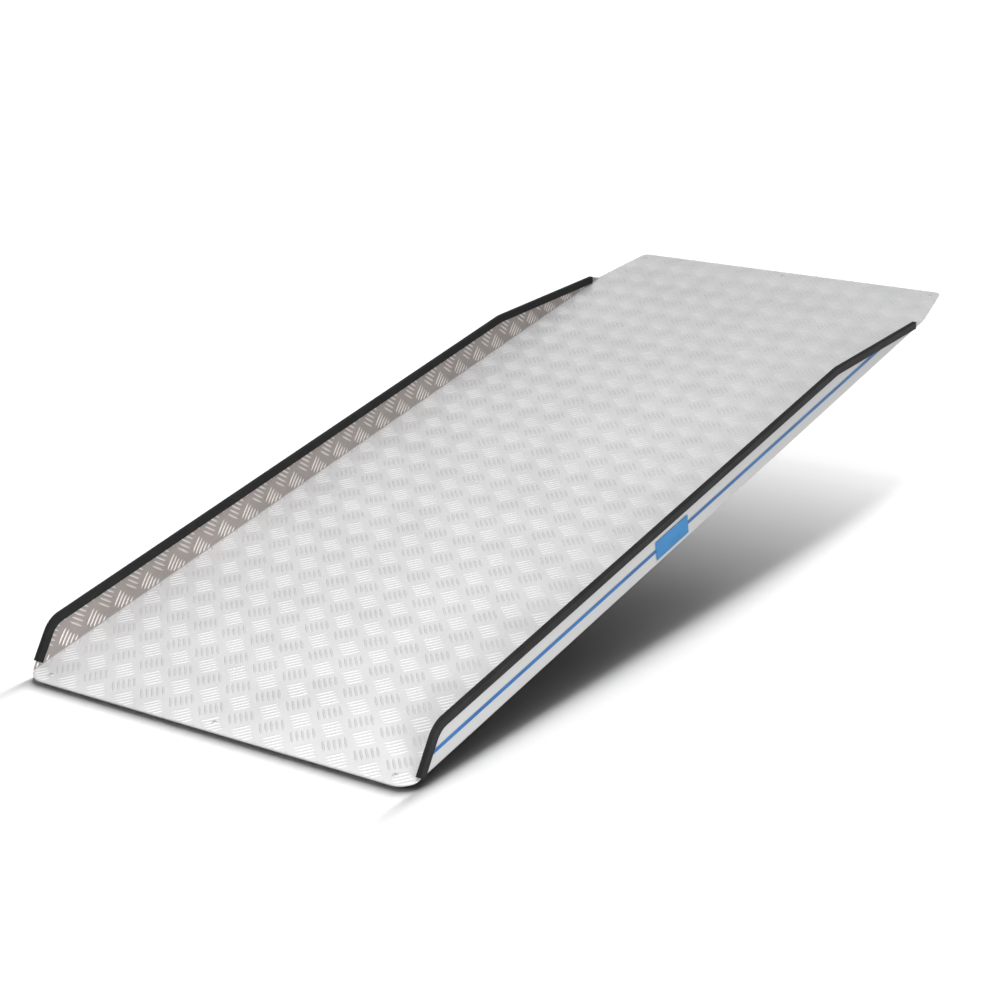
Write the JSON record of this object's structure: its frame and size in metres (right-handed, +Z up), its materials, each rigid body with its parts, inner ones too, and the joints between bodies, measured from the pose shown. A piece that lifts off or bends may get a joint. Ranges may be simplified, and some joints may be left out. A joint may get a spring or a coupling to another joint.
{
  "type": "portable wheelchair ramp",
  "caption": "One-piece folded tread-plate ramp with low kerbs, black edge trim, blue tape line and blank label.",
  "frame": {"origin": "centre of the ramp's length and width, on the plane of the undersides of its cross ribs", "axes": "+X along the ramp from the low end to the upper end, +Y across it to the left kerb as seen walking up, +Z up from the deck"},
  "size_m": [2, 0.7744, 0.0892],
  "materials": {
    "tread_aluminium": "bright five-bar tread, smooth back",
    "rib_aluminium": "mill finish",
    "rivet_aluminium": "satin",
    "washer_steel": "zinc plated",
    "trim_black": "satin black",
    "tape_blue": "satin film",
    "label_blue": "plain blank label",
    "grip_rubber": "matt black"
  },
  "bodies": {
    "root": {"tread_plate_sheet": "tread_aluminium", "left_edge_trim": "trim_black", "left_tape_line": "tape_blue", "left_blank_label": "label_blue", "right_edge_trim": "trim_black", "right_tape_line": "tape_blue", "right_blank_label": "label_blue", "cross_rib_1": "rib_aluminium", "cross_rib_2": "rib_aluminium", "cross_rib_3": "rib_aluminium", "cross_rib_4": "rib_aluminium", "cross_rib_5": "rib_aluminium", "cross_rib_6": "rib_aluminium", "low_grip_strip": "grip_rubber", "upper_grip_strip": "grip_rubber", "low_left_rivet_washer": "washer_steel", "low_left_rivet": "rivet_aluminium", "low_middle_rivet_washer": "washer_steel", "low_middle_rivet": "rivet_aluminium", "low_right_rivet_washer": "washer_steel", "low_right_rivet": "rivet_aluminium", "upper_left_rivet_washer": "washer_steel", "upper_left_rivet": "rivet_aluminium", "upper_middle_rivet_washer": "washer_steel", "upper_middle_rivet": "rivet_aluminium", "upper_right_rivet_washer": "washer_steel", "upper_right_rivet": "rivet_aluminium"}
  },
  "joints": []
}
